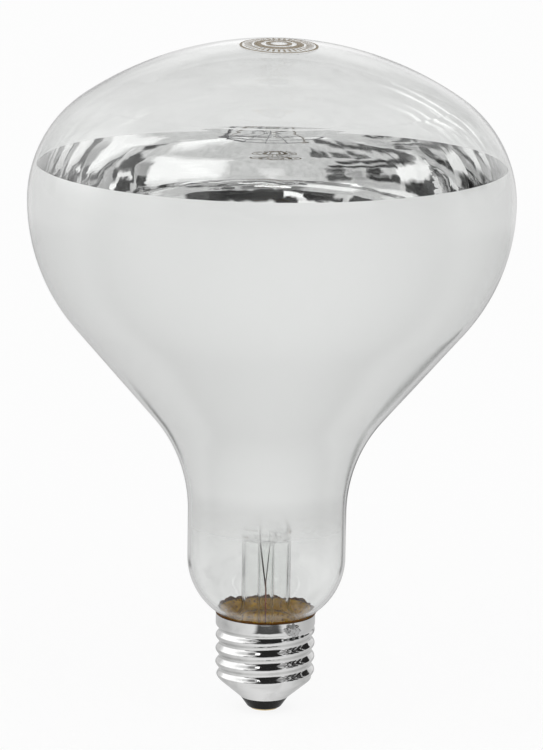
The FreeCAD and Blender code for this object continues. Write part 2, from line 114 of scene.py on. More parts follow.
class Graph:
    """A node tree, with short calls that add nodes and join them."""

    def __init__(self, tree: bpy.types.NodeTree) -> None:
        """Start from an empty tree."""
        self.tree = tree
        tree.nodes.clear()

    def feed(self, socket: Socket, value: Any) -> None:
        """Link an input to another socket, or set it to a plain value.

        Args:
            socket: The input.
            value: The other socket, or the value.
        """
        if isinstance(value, Socket):
            self.tree.links.new(value, socket)
        else:
            socket.default_value = value

    def add(self, kind: str, inputs: dict[Any, Any] | None = None, **settings: Any) -> bpy.types.Node:
        """Add one node.

        Args:
            kind: The node's type.
            inputs: Values or sockets for its inputs, by name or number.
            settings: The node's own settings.

        Returns:
            The new node.
        """
        node = self.tree.nodes.new(kind)
        for name, value in settings.items():
            setattr(node, name, value)
        for key, value in (inputs or {}).items():
            self.feed(node.inputs[key], value)
        return node

    def math(self, operation: str, *terms: Any) -> Socket:
        """The result of one sum on numbers or sockets."""
        return self.add("ShaderNodeMath", dict(enumerate(terms)), operation=operation).outputs[0]

    def vector(self, operation: str, output: str, *terms: Any) -> Socket:
        """The result of one sum on vectors, as a Vector or a Value."""
        return self.add("ShaderNodeVectorMath", dict(enumerate(terms)), operation=operation).outputs[output]

    def parts(self, vector: Any) -> bpy.types.NodeOutputs:
        """A vector's X, Y and Z sockets, by name."""
        return self.add("ShaderNodeSeparateXYZ", {"Vector": vector}).outputs

    def place(self) -> Socket:
        """Object coordinates."""
        return self.add("ShaderNodeTexCoord").outputs["Object"]

    def height(self) -> Socket:
        """The height along the lamp's axis."""
        return self.parts(self.place())["Z"]

    def stretched(self, vector: Any, scale: Place) -> Socket:
        """Coordinates stretched along each axis."""
        return self.add("ShaderNodeMapping", {"Vector": vector, "Scale": scale}).outputs["Vector"]

    def local(self, vector: Any, turn: float, middle: Place = ORIGIN) -> Socket:
        """Coordinates about a middle, on axes turned about Z by some degrees."""
        frame = {"Vector": vector, "Location": middle, "Rotation": (0.0, 0.0, math.radians(turn))}
        return self.add("ShaderNodeMapping", frame, vector_type="TEXTURE").outputs["Vector"]

    def noise(self, vector: Any, clouds: Clouds) -> Socket:
        """A cloudy pattern between 0 and 1.

        Args:
            vector: The coordinates that it is read at.
            clouds: The pattern's values.

        Returns:
            The pattern's socket.
        """
        inputs = {
            "Vector": self.stretched(vector, clouds.stretch),
            "Scale": clouds.scale,
            "Detail": clouds.layers,
            "Distortion": clouds.stir,
        }
        return self.add("ShaderNodeTexNoise", inputs).outputs[0]

    def clouds(self, clouds: Clouds) -> Socket:
        """A cloudy pattern on Object coordinates."""
        return self.noise(self.place(), clouds)

    def cells(self, scale: float) -> Socket:
        """The distance to the nearest of many scattered points, on Object coordinates."""
        return self.add("ShaderNodeTexVoronoi", {"Vector": self.place(), "Scale": scale}).outputs["Distance"]

    def spread(self, value: Any, over: Span, to: Span = (0.0, 1.0)) -> Socket:
        """A soft step from one result to another.

        Args:
            value: What is measured.
            over: Where the step starts and ends.
            to: The results before and after it.

        Returns:
            The result's socket.
        """
        inputs = {
            "Value": value,
            "From Min": over[0],
            "From Max": over[1],
            "To Min": to[0],
            "To Max": to[1],
        }
        node = self.add("ShaderNodeMapRange", inputs, interpolation_type="SMOOTHSTEP", clamp=True)
        return node.outputs[0]

    def mix(self, kind: Mix, share: Any, first: Any, second: Any) -> Socket:
        """Something between two, by a share.

        Args:
            kind: What the two are.
            share: The second one's share.
            first: The first one.
            second: The second one.

        Returns:
            The result's socket.
        """
        data_type, start, output = kind.value
        inputs = {0: share, start: first, start + 1: second}
        return self.add("ShaderNodeMix", inputs, data_type=data_type, clamp_factor=True).outputs[output]

    def blend(self, share: Any, first: Any, second: Any) -> Socket:
        """A colour between two, by a share."""
        return self.mix(Mix.COLOUR, share, first, second)

    def choose(self, share: Any, first: Any, second: Any) -> Socket:
        """A number between two, by a share."""
        return self.mix(Mix.NUMBER, share, first, second)

    def inside(self, value: Any, low: float, high: float, soft: float) -> Socket:
        """1 where a value lies between two limits, and 0 elsewhere.

        Args:
            value: What is measured.
            low: The lower limit.
            high: The upper limit.
            soft: Half the width of each limit's soft edge.

        Returns:
            The result's socket.
        """
        away = self.math("ABSOLUTE", self.math("SUBTRACT", value, (low + high) / 2))
        half = (high - low) / 2
        return self.spread(away, (half + soft, half - soft))

    def bump(self, height: Any, relief: Relief, under: Any = None) -> Socket:
        """A normal that follows a height pattern.

        Args:
            height: The pattern.
            relief: How it stands out.
            under: Another bump that this one lies on.

        Returns:
            The normal's socket.
        """
        inputs = {"Height": height, "Strength": relief.strength, "Distance": relief.depth}
        if under is not None:
            inputs["Normal"] = under
        return self.add("ShaderNodeBump", inputs).outputs["Normal"]


@dataclass(frozen=True)
class Finish:
    """A surface finish that can make its own material."""

    name: str

    def material(self) -> bpy.types.Material:
        """Make the material.

        Returns:
            A material with one shader, filled in by the finish.
        """
        material = bpy.data.materials.new(self.name)
        material.use_nodes = True
        graph = Graph(material.node_tree)
        surface = graph.add("ShaderNodeBsdfPrincipled", self.paint(graph))
        graph.add("ShaderNodeOutputMaterial", {"Surface": surface.outputs["BSDF"]})
        return material

    def paint(self, graph: Graph) -> Paint:
        """What goes into the shader's sockets, by their names."""
        raise NotImplementedError


@dataclass(frozen=True)
class BlownGlass(Finish):
    """Clear blown glass with faint drawn-out ripples and a breath of tint."""

    clear: Colour = (0.975, 0.98, 0.975, 1.0)
    tinted: Colour = (0.955, 0.962, 0.955, 1.0)
    refraction: float = 1.5
    gloss: float = 0.25
    ripple_scale: float = 22.0
    drawn_out: Place = (1.0, 1.0, 0.35)
    ripple_relief: Relief = Relief(0.25, 0.3 * MM)

    def paint(self, graph: Graph) -> Paint:
        """Clear and smooth, with ripples.

        Args:
            graph: The material's node tree.

        Returns:
            The shader's sockets.
        """
        ripples = graph.clouds(Clouds(self.ripple_scale, 2.0, stretch=self.drawn_out))
        return {
            "Base Color": graph.blend(ripples, self.tinted, self.clear),
            "Transmission Weight": 1.0,
            "IOR": self.refraction,
            "Specular IOR Level": self.gloss,
            "Roughness": 0.0,
            "Normal": graph.bump(ripples, self.ripple_relief),
        }


@dataclass(frozen=True)
class MirrorFilm(Finish):
    """Evaporated aluminium, thinning out to nothing down the neck."""

    fade: Span = (43.5 * MM, 62.0 * MM)
    fade_ragged: float = 2.5 * MM
    patches: Clouds = Clouds(16.0, stretch=(1.0, 1.0, 0.5))

    def cover(self, graph: Graph, patches: Socket) -> Socket:
        """How much of the film there is, by height, with a ragged fade.

        Args:
            graph: The material's node tree.
            patches: The film's cloudy pattern.

        Returns:
            The share's socket.
        """
        ragged = graph.math("MULTIPLY", graph.math("SUBTRACT", patches, 0.5), self.fade_ragged)
        return graph.spread(graph.math("ADD", graph.height(), ragged), self.fade)


@dataclass(frozen=True)
class FilmBack(MirrorFilm):
    """The film's side on the glass: pale and satin."""

    dull: Colour = grey(0.86)
    pale: Colour = grey(0.91)
    metal: float = 0.10
    gloss: float = 0.2
    roughness_over: Span = (0.3, 0.7)
    roughness: Span = (0.46, 0.54)
    ripples: Clouds = Clouds(30.0, 2.0, stretch=(1.0, 1.0, 0.3))
    ripple_relief: Relief = Relief(0.3, 0.4 * MM)

    def paint(self, graph: Graph) -> Paint:
        """Soft and pale, with ripples.

        Args:
            graph: The material's node tree.

        Returns:
            The shader's sockets.
        """
        patches = graph.clouds(self.patches)
        return {
            "Base Color": graph.blend(patches, self.dull, self.pale),
            "Metallic": self.metal,
            "Specular IOR Level": self.gloss,
            "Roughness": graph.spread(patches, self.roughness_over, self.roughness),
            "Normal": graph.bump(graph.clouds(self.ripples), self.ripple_relief),
            "Alpha": self.cover(graph, patches),
        }


@dataclass(frozen=True)
class FilmFace(MirrorFilm):
    """The film's free side: a mirror with ripples, and fine rings from the spinning of the bulb."""

    dull: Colour = grey(0.90)
    bright: Colour = grey(0.94)
    ripples: Clouds = Clouds(38.0, 2.0, 0.4, (1.0, 1.0, 0.6))
    ripple_relief: Relief = Relief(0.5, 0.4 * MM)
    rings: Clouds = Clouds(260.0, 2.0, stretch=(0.03, 0.03, 1.0))
    ring_relief: Relief = Relief(0.3, 0.06 * MM)
    ring_heights: Span = (75.0 * MM, 105.0 * MM)
    ring_gain: Span = (5.0, 1.0)

    def paint(self, graph: Graph) -> Paint:
        """Mirror bright, with deeper rings down the bulb.

        Args:
            graph: The material's node tree.

        Returns:
            The shader's sockets.
        """
        patches = graph.clouds(self.patches)
        gain = graph.spread(graph.height(), self.ring_heights, self.ring_gain)
        grooves = graph.math("MULTIPLY", graph.clouds(self.rings), gain)
        under = graph.bump(graph.clouds(self.ripples), self.ripple_relief)
        return {
            "Base Color": graph.blend(patches, self.dull, self.bright),
            "Metallic": 1.0,
            "Roughness": 0.0,
            "Normal": graph.bump(grooves, self.ring_relief, under),
            "Alpha": self.cover(graph, patches),
        }


@dataclass(frozen=True)
class PlatedShell(Finish):
    """Bright plated sheet with rolling marks and a few dull smears."""

    bright: Colour = (0.80, 0.80, 0.795, 1.0)
    dull: Colour = (0.66, 0.66, 0.655, 1.0)
    smears: Clouds = Clouds(160.0, 5.0, 0.6)
    dull_over: Span = (0.45, 0.8)
    roughness_over: Span = (0.4, 0.8)
    roughness: Span = (0.045, 0.16)
    rolling: Clouds = Clouds(260.0, stretch=(1.0, 1.0, 9.0))
    rolling_relief: Relief = Relief(0.15, 0.04 * MM)

    def paint(self, graph: Graph) -> Paint:
        """Mirror bright with fine marks round the shell.

        Args:
            graph: The material's node tree.

        Returns:
            The shader's sockets.
        """
        smears = graph.clouds(self.smears)
        return {
            "Base Color": graph.blend(graph.spread(smears, self.dull_over), self.bright, self.dull),
            "Metallic": 1.0,
            "Roughness": graph.spread(smears, self.roughness_over, self.roughness),
            "Normal": graph.bump(graph.clouds(self.rolling), self.rolling_relief),
        }


@dataclass(frozen=True)
class BlackGlass(Finish):
    """Cast black glass with a soft gloss."""

    black: Colour = grey(0.006)
    worn: Colour = grey(0.018)
    refraction: float = 1.55
    gloss: float = 0.09
    grain: Clouds = Clouds(420.0, 4.0)
    grain_relief: Relief = Relief(0.3, 0.08 * MM)
    roughness_over: Span = (0.3, 0.8)
    roughness: Span = (0.06, 0.2)

    def paint(self, graph: Graph) -> Paint:
        """Nearly black, with a faint grain in its gloss.

        Args:
            graph: The material's node tree.

        Returns:
            The shader's sockets.
        """
        grain = graph.clouds(self.grain)
        return {
            "Base Color": graph.blend(grain, self.black, self.worn),
            "Roughness": graph.spread(grain, self.roughness_over, self.roughness),
            "IOR": self.refraction,
            "Specular IOR Level": self.gloss,
            "Normal": graph.bump(grain, self.grain_relief),
        }


class Metal(Enum):
    """The wire and contact metals, each as a clean and a tarnished colour."""

    TUNGSTEN = ((0.33, 0.33, 0.34, 1.0), (0.16, 0.16, 0.17, 1.0))
    MOLYBDENUM = ((0.48, 0.48, 0.49, 1.0), (0.30, 0.30, 0.31, 1.0))
    NICKEL = ((0.64, 0.61, 0.57, 1.0), (0.44, 0.41, 0.38, 1.0))
    COPPER = ((0.50, 0.19, 0.11, 1.0), (0.05, 0.04, 0.036, 1.0))
    BRASS = ((0.78, 0.61, 0.33, 1.0), (0.52, 0.38, 0.18, 1.0))


@dataclass(frozen=True)
class WorkedMetal(Finish):
    """Drawn or pressed metal with tarnish."""

    metal: Metal
    patch_scale: float = 300.0
    tarnish_over: Span = (0.4, 0.75)
    scorch: Span | None = None
    roughness_over: Span = (0.3, 0.8)
    roughness: Span = (0.22, 0.45)
    patch_relief: Relief = Relief(0.2, 0.05 * MM)

    def paint(self, graph: Graph) -> Paint:
        """Clean metal under patches of tarnish, and dark all over above where it was scorched.

        Args:
            graph: The material's node tree.

        Returns:
            The shader's sockets.
        """
        clean, tarnished = self.metal.value
        patches = graph.clouds(Clouds(self.patch_scale, 4.0, 0.4))
        share = graph.spread(patches, self.tarnish_over)
        if self.scorch:
            share = graph.math("MAXIMUM", share, graph.spread(graph.height(), self.scorch))
        return {
            "Base Color": graph.blend(share, clean, tarnished),
            "Metallic": 1.0,
            "Roughness": graph.spread(patches, self.roughness_over, self.roughness),
            "Normal": graph.bump(patches, self.patch_relief),
        }


@dataclass(frozen=True)
class Solder(Finish):
    """Dull grey solder, wrinkled as it set, with burnt flux in its pits."""

    dull: Colour = grey(0.34)
    bright: Colour = grey(0.78)
    flux: Colour = (0.10, 0.06, 0.03, 1.0)
    wrinkles: Clouds = Clouds(900.0, 5.0, 1.2)
    wrinkle_relief: Relief = Relief(0.7, 0.4 * MM)
    pit_scale: float = 1500.0
    pit_edge: Span = (0.05, 0.35)
    pit_relief: Relief = Relief(0.5, 0.2 * MM)
    roughness_over: Span = (0.3, 0.7)
    roughness: Span = (0.2, 0.5)

    def paint(self, graph: Graph) -> Paint:
        """Grey metal with wrinkles and pits.

        Args:
            graph: The material's node tree.

        Returns:
            The shader's sockets.
        """
        wrinkles = graph.clouds(self.wrinkles)
        pits = graph.spread(graph.cells(self.pit_scale), self.pit_edge)
        metal = graph.blend(wrinkles, self.dull, self.bright)
        return {
            "Base Color": graph.blend(pits, self.flux, metal),
            "Metallic": 1.0,
            "Roughness": graph.spread(wrinkles, self.roughness_over, self.roughness),
            "Normal": graph.bump(wrinkles, self.wrinkle_relief, graph.bump(pits, self.pit_relief)),
        }


@dataclass(frozen=True)
class BakedCement(Finish):
    """Olive-gold baked resin cement with bubbles, a little gloss and a darker outer rim."""

    light: Colour = (0.82, 0.49, 0.030, 1.0)
    dark: Colour = (0.48, 0.265, 0.012, 1.0)
    pool: Colour = (0.25, 0.125, 0.006, 1.0)
    rim_dark: Colour = (0.12, 0.048, 0.005, 1.0)
    rim_dark_from: Span = (12.3 * MM, 12.8 * MM)
    gloss: float = 0.10
    patches: Clouds = Clouds(330.0, 5.0, 0.8)
    patch_over: Span = (0.3, 0.7)
    patch_relief: Relief = Relief(0.6, 0.5 * MM)
    bubble_scale: float = 800.0
    bubble_edge: Span = (0.1, 0.45)
    bubble_relief: Relief = Relief(0.6, 0.3 * MM)
    roughness: Span = (0.16, 0.5)

    def paint(self, graph: Graph) -> Paint:
        """Gold to olive brown, with darker pools round the bubbles.

        Args:
            graph: The material's node tree.

        Returns:
            The shader's sockets.
        """
        patches = graph.clouds(self.patches)
        bubbles = graph.spread(graph.cells(self.bubble_scale), self.bubble_edge)
        body = graph.blend(graph.spread(patches, self.patch_over), self.dark, self.light)
        body = graph.blend(bubbles, self.pool, body)
        reach = graph.vector("LENGTH", "Value", graph.stretched(graph.place(), (1.0, 1.0, 0.0)))
        return {
            # darker towards the outer rim, by distance from the lamp's axis
            "Base Color": graph.blend(graph.spread(reach, self.rim_dark_from), body, self.rim_dark),
            "Specular IOR Level": self.gloss,
            "Roughness": graph.spread(patches, self.patch_over, self.roughness),
            "Normal": graph.bump(patches, self.patch_relief, graph.bump(bubbles, self.bubble_relief)),
        }


@dataclass(frozen=True)
class StampInk(Finish):
    """Brown ink baked on the glass, worn thin in places."""

    thick: Colour = (0.20, 0.155, 0.10, 1.0)
    thin: Colour = (0.36, 0.30, 0.21, 1.0)
    wear: Clouds = Clouds(700.0, 4.0)
    roughness_over: Span = (0.3, 0.7)
    roughness: Span = (0.4, 0.65)
    cover_over: Span = (0.76, 0.5)
    cover: Span = (0.35, 1.0)

    def paint(self, graph: Graph) -> Paint:
        """Patchy brown that lets the glass show through.

        Args:
            graph: The material's node tree.

        Returns:
            The shader's sockets.
        """
        wear = graph.clouds(self.wear)
        return {
            "Base Color": graph.blend(wear, self.thick, self.thin),
            "Roughness": graph.spread(wear, self.roughness_over, self.roughness),
            "Alpha": graph.spread(wear, self.cover_over, self.cover),
        }


def meshed(name: str, shape: bmesh.types.BMesh) -> bpy.types.Mesh:
    """Turn a bmesh into a mesh.

    Args:
        name: The mesh's name.
        shape: The bmesh, which is freed.

    Returns:
        The new mesh.
    """
    mesh = bpy.data.meshes.new(name)
    shape.to_mesh(mesh)
    shape.free()
    return mesh


def linked(name: str, data: bpy.types.ID) -> bpy.types.Object:
    """Put an object into the scene.

    Args:
        name: The object's name.
        data: Its mesh or camera.

    Returns:
        The new object.
    """
    thing = bpy.data.objects.new(name, data)
    bpy.context.scene.collection.objects.link(thing)
    return thing


@dataclass
class Piece:
    """A new piece of the lamp, with the solids that it stands for.

    Edges that turn by more degrees than sharp stay sharp.
    """

    name: str
    slot: str
    finishes: Sequence[Finish]
    stands_for: Sequence[str] = ()
    sharp: float = 35.0

    def from_shape(self, shape: bmesh.types.BMesh) -> None:
        """Make the piece from a bmesh, which is freed."""
        bmesh.ops.recalc_face_normals(shape, faces=shape.faces[:])
        self.from_mesh(meshed(self.name, shape))

    def from_mesh(self, mesh: bpy.types.Mesh) -> None:
        """Make the piece from a mesh, at the origin of the lamp's frame.

        Args:
            mesh: The mesh, with no material yet.
        """
        for finish in self.finishes:
            mesh.materials.append(finish.material())
        mesh.shade_smooth()
        mesh.set_sharp_from_angle(angle=math.radians(self.sharp))
        piece = linked(self.name, mesh)
        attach(piece, BODY)
        if self.stands_for:
            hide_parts(*self.stands_for)
        LOG.info("built %s: %d faces", self.name, len(mesh.polygons))


def dress(frame: dict[str, Any], names: Iterable[str], finish: Finish) -> None:
    """Give carried-over solids a finish.

    Args:
        frame: What the frame's load returned.
        names: The solids' names.
        finish: Their finish.
    """
    material = finish.material()
    for name in names:
        for slot in frame["nodes"][name].material_slots:
            slot.material = material
        LOG.info("dressed %s with %s", name, material.name)


def turned(section: Section, steps: int, ring: bool) -> bmesh.types.BMesh:
    """Turn a half section once around the lamp's axis.

    Args:
        section: Its points, as radius and height.
        steps: How many steps the turn takes.
        ring: Whether the section closes on itself, or ends on the axis.

    Returns:
        A bmesh with its doubles merged.
    """
    shape = bmesh.new()
    verts = [shape.verts.new((radius, 0.0, height)) for radius, height in section]
    pairs = list(zip(verts, verts[1:]))
    if ring:
        pairs.append((verts[-1], verts[0]))
    edges = [shape.edges.new(pair) for pair in pairs]
    bmesh.ops.spin(
        shape,
        geom=verts + edges,
        cent=ORIGIN,
        axis=(0.0, 0.0, 1.0),
        angle=2 * math.pi,
        steps=steps,
        use_merge=True,
    )
    bmesh.ops.remove_doubles(shape, verts=shape.verts[:], dist=1e-7)
    return shape


def lumps(place: Vector, scale: float, layers: int) -> float:
    """A rough pattern about 0, whose finer layers are each half the size of the last and half as tall."""
    return noise.fractal(place * scale, 1.0, 2.0, layers)


def limited(value: float, low: float, high: float) -> float:
    """A value kept between two limits."""
    return max(low, min(high, value))


@dataclass(frozen=True)
class Arc:
    """An arc of the bulb's half section, with angles in degrees from straight out."""

    centre: Point
    radius: float
    start: float
    end: float

    def points(self, step: float) -> Section:
        """Points along the arc.

        Args:
            step: About how many degrees they are apart.

        Returns:
            The points, both ends among them.
        """
        count = max(2, math.ceil(abs(self.end - self.start) / step))
        angles = [self.start + (self.end - self.start) * index / count for index in range(count + 1)]
        return [self.at(angle) for angle in angles]

    def at(self, angle: float) -> Point:
        """The point at an angle."""
        turn = math.radians(angle)
        return (self.centre[0] + self.radius * math.cos(turn), self.centre[1] + self.radius * math.sin(turn))


def straight(start: Point, end: Point, run: float) -> Section:
    """Points on the line from a start to an end.

    Args:
        start: The start, which isn't among them.
        end: The end, which is the last of them.
        run: The longest stretch between two of them.

    Returns:
        The points, or none where the ends meet.
    """
    length = math.dist(start, end)
    count = math.ceil(length / run) if length > 1e-6 else 0
    return [
        (start[0] + (end[0] - start[0]) * index / count, start[1] + (end[1] - start[1]) * index / count)
        for index in range(1, count + 1)
    ]


def chain(arcs: Sequence[Arc], step: float, run: float) -> Section:
    """Points along arcs in order, with straight runs between those that don't meet.

    Args:
        arcs: The arcs.
        step: Degrees between points on an arc.
        run: The longest stretch between points on a straight run.

    Returns:
        The points, with none twice.
    """
    points = arcs[0].points(step)
    for arc in arcs[1:]:
        fresh = arc.points(step)
        points.extend(straight(points[-1], fresh[0], run))
        points.extend(fresh[1:])
    return points


@dataclass
class BulbOutline:
    """The outline of the blown bulb as tangent arcs, apex to throat."""

    face_centre: float = 89.770 * MM
    face_radius: float = 87.1 * MM
    face_end_angle: float = 55.60
    bulb_radius: float = 63.0 * MM
    widest_height: float = 135.485 * MM
    shoulder_radius: float = 31.7 * MM
    belly_radius: float = 50.0 * MM
    cone_angle: float = 40.6
    neck_radius: float = 20.7 * MM
    neck_height: float = 53.210 * MM
    neck_fillet: float = 39.0 * MM
    heel_radius: float = 17.6 * MM
    heel_height: float = 41.010 * MM
    heel_angle: float = 49.4
    throat_radius: float = 10.55 * MM
    throat_height: float = 23.294 * MM
    throat_fillet: float = 2.0 * MM
    seal_height: float = 22.794 * MM

    def arcs(self, inset: float) -> list[Arc]:
        """The six arcs of one face of the glass.

        Args:
            inset: How far it lies inwards from the outer face.

        Returns:
            Face, shoulder, belly, neck, heel and throat.
        """
        shoulder = (self.bulb_radius - self.shoulder_radius, self.widest_height)
        belly = (self.bulb_radius - self.belly_radius, self.widest_height)
        neck = (self.neck_radius + self.neck_fillet, self.neck_height)
        heel = (self.neck_radius - self.heel_radius, self.heel_height)
        throat = (self.throat_radius + self.throat_fillet, self.throat_height)
        return [
            Arc((0.0, self.face_centre), self.face_radius - inset, 90.0, self.face_end_angle),
            Arc(shoulder, self.shoulder_radius - inset, self.face_end_angle, 0.0),
            Arc(belly, self.belly_radius - inset, 0.0, -self.cone_angle),
            Arc(neck, self.neck_fillet + inset, 180.0 - self.cone_angle, 180.0),
            Arc(heel, self.heel_radius - inset, 0.0, -self.heel_angle),
            Arc(throat, self.throat_fillet + inset, 180.0 - self.heel_angle, 180.0),
        ]


class FilmSide(Enum):
    """The film's two sides, as the numbers of their finishes."""

    BACK = 0
    FACE = 1


@dataclass
class Envelope:
    """The blown glass bulb with the mirror film on its inner face."""

    outline: BulbOutline = field(default_factory=BulbOutline)
    glass_wall: float = 0.9 * MM
    film_gap: float = 0.05 * MM
    film_thickness: float = 0.1 * MM
    mirror_above_widest: float = 9.7 * MM
    mirror_above_heel: float = 0.5 * MM
    steps: int = 256
    arc_step: float = 2.0
    straight_run: float = 4.0 * MM

    def build(self) -> None:
        """Build the glass and the film."""
        self.build_glass()
        self.build_film()

    def build_glass(self) -> None:
        """The glass: outer face from apex to throat, then the inner face back to the apex."""
        outline = self.outline
        outer = chain(outline.arcs(0.0), self.arc_step, self.straight_run)
        inner = chain(outline.arcs(self.glass_wall), self.arc_step, self.straight_run)
        mouth = [
            (outline.throat_radius, outline.seal_height),
            (outline.throat_radius - self.glass_wall, outline.seal_height),
        ]
        section = outer + mouth + inner[::-1]
        section[0] = (0.0, section[0][1])
        section[-1] = (0.0, section[-1][1])
        shape = turned(section, self.steps, ring=False)
        replaced = ["glass_bulb", "glass_neck"]
        Piece("bulb_glass", "clear_glass", [BlownGlass("blown_glass")], replaced).from_shape(shape)

    def film_curve(self, inset: float) -> Section:
        """One face of the film, from its edge on the shoulder to its end in the neck.

        Args:
            inset: How far it lies inwards from the glass's outer face.

        Returns:
            The face's points.
        """
        _, shoulder, belly, neck, _, _ = self.outline.arcs(inset)
        edge = math.degrees(math.asin(self.mirror_above_widest / shoulder.radius))
        rim = Arc(shoulder.centre, shoulder.radius, edge, 0.0)
        curve = chain([rim, belly, neck], self.arc_step, self.straight_run)
        end = (curve[-1][0], self.outline.heel_height + self.mirror_above_heel)
        return curve + straight(curve[-1], end, self.straight_run / 2)

    def build_film(self) -> None:
        """The film, whose two faces have finishes of their own."""
        outer_inset = self.glass_wall + self.film_gap
        outer = self.film_curve(outer_inset)
        inner = self.film_curve(outer_inset + self.film_thickness)
        shape = turned(outer + inner[::-1], self.steps, ring=True)
        bmesh.ops.recalc_face_normals(shape, faces=shape.faces[:])
        for face in shape.faces:
            middle = face.calc_center_median()
            inwards = face.normal.x * middle.x + face.normal.y * middle.y < 0
            face.material_index = (FilmSide.FACE if inwards else FilmSide.BACK).value
        finishes = [FilmBack("mirror_back"), FilmFace("mirror_face")]
        Piece("mirror_film", "mirror_film", finishes, ["mirror_coating"]).from_shape(shape)


@dataclass
class FaceMark:
    """A plain round mark in ink on the clear face: rings with dashes between them."""

    outline: BulbOutline = field(default_factory=BulbOutline)
    centre: Point = (1.2 * MM, -4.4 * MM)
    rings: tuple[Span, ...] = (
        (9.5 * MM, 10.1 * MM),
        (4.6 * MM, 6.4 * MM),
        (2.2 * MM, 3.4 * MM),
    )
    ring_segments: int = 72
    dash: Span = (7.0 * MM, 8.9 * MM)
    dash_width: float = 0.6 * MM
    dash_count: int = 36
    thickness: float = 0.02 * MM

    def build(self) -> None:
        """Model the mark flat, then lay it on the dome."""
        shape = bmesh.new()
        for low, high in self.rings:
            self.add_ring(shape, low, high)
        for index in range(self.dash_count):
            self.add_dash(shape, 2 * math.pi * index / self.dash_count)
        extruded = bmesh.ops.extrude_face_region(shape, geom=shape.faces[:])
        lifted = [item for item in extruded["geom"] if isinstance(item, bmesh.types.BMVert)]
        bmesh.ops.translate(shape, verts=lifted, vec=(0.0, 0.0, self.thickness))
        bmesh.ops.translate(shape, verts=shape.verts[:], vec=(*self.centre, 0.0))
        for vert in shape.verts:
            reach = math.hypot(vert.co.x, vert.co.y)
            vert.co.z += self.outline.face_centre + math.sqrt(self.outline.face_radius ** 2 - reach ** 2)
        Piece("face_mark", "clear_glass", [StampInk("stamp_ink")]).from_shape(shape)

    def add_ring(self, shape: bmesh.types.BMesh, low: float, high: float) -> None:
        """Add a flat ring.

        Args:
            shape: The mark's bmesh.
            low: The ring's inner radius.
            high: Its outer radius.
        """
        inner = bmesh.ops.create_circle(shape, segments=self.ring_segments, radius=low)["verts"]
        outer = bmesh.ops.create_circle(shape, segments=self.ring_segments, radius=high)["verts"]
        loops = {edge for vert in inner + outer for edge in vert.link_edges}
        bmesh.ops.bridge_loops(shape, edges=list(loops))

    def add_dash(self, shape: bmesh.types.BMesh, turn: float) -> None:
        """Add one flat dash that points at the middle.

        Args:
            shape: The mark's bmesh.
            turn: The dash's angle about the middle, in radians.
        """
        low, high = self.dash
        verts = bmesh.ops.create_grid(shape, x_segments=3, y_segments=1, size=0.5)["verts"]
        bmesh.ops.scale(shape, verts=verts, vec=(high - low, self.dash_width, 1.0))
        bmesh.ops.translate(shape, verts=verts, vec=((low + high) / 2, 0.0, 0.0))
        bmesh.ops.rotate(shape, verts=verts, cent=ORIGIN, matrix=Matrix.Rotation(turn, 3, "Z"))


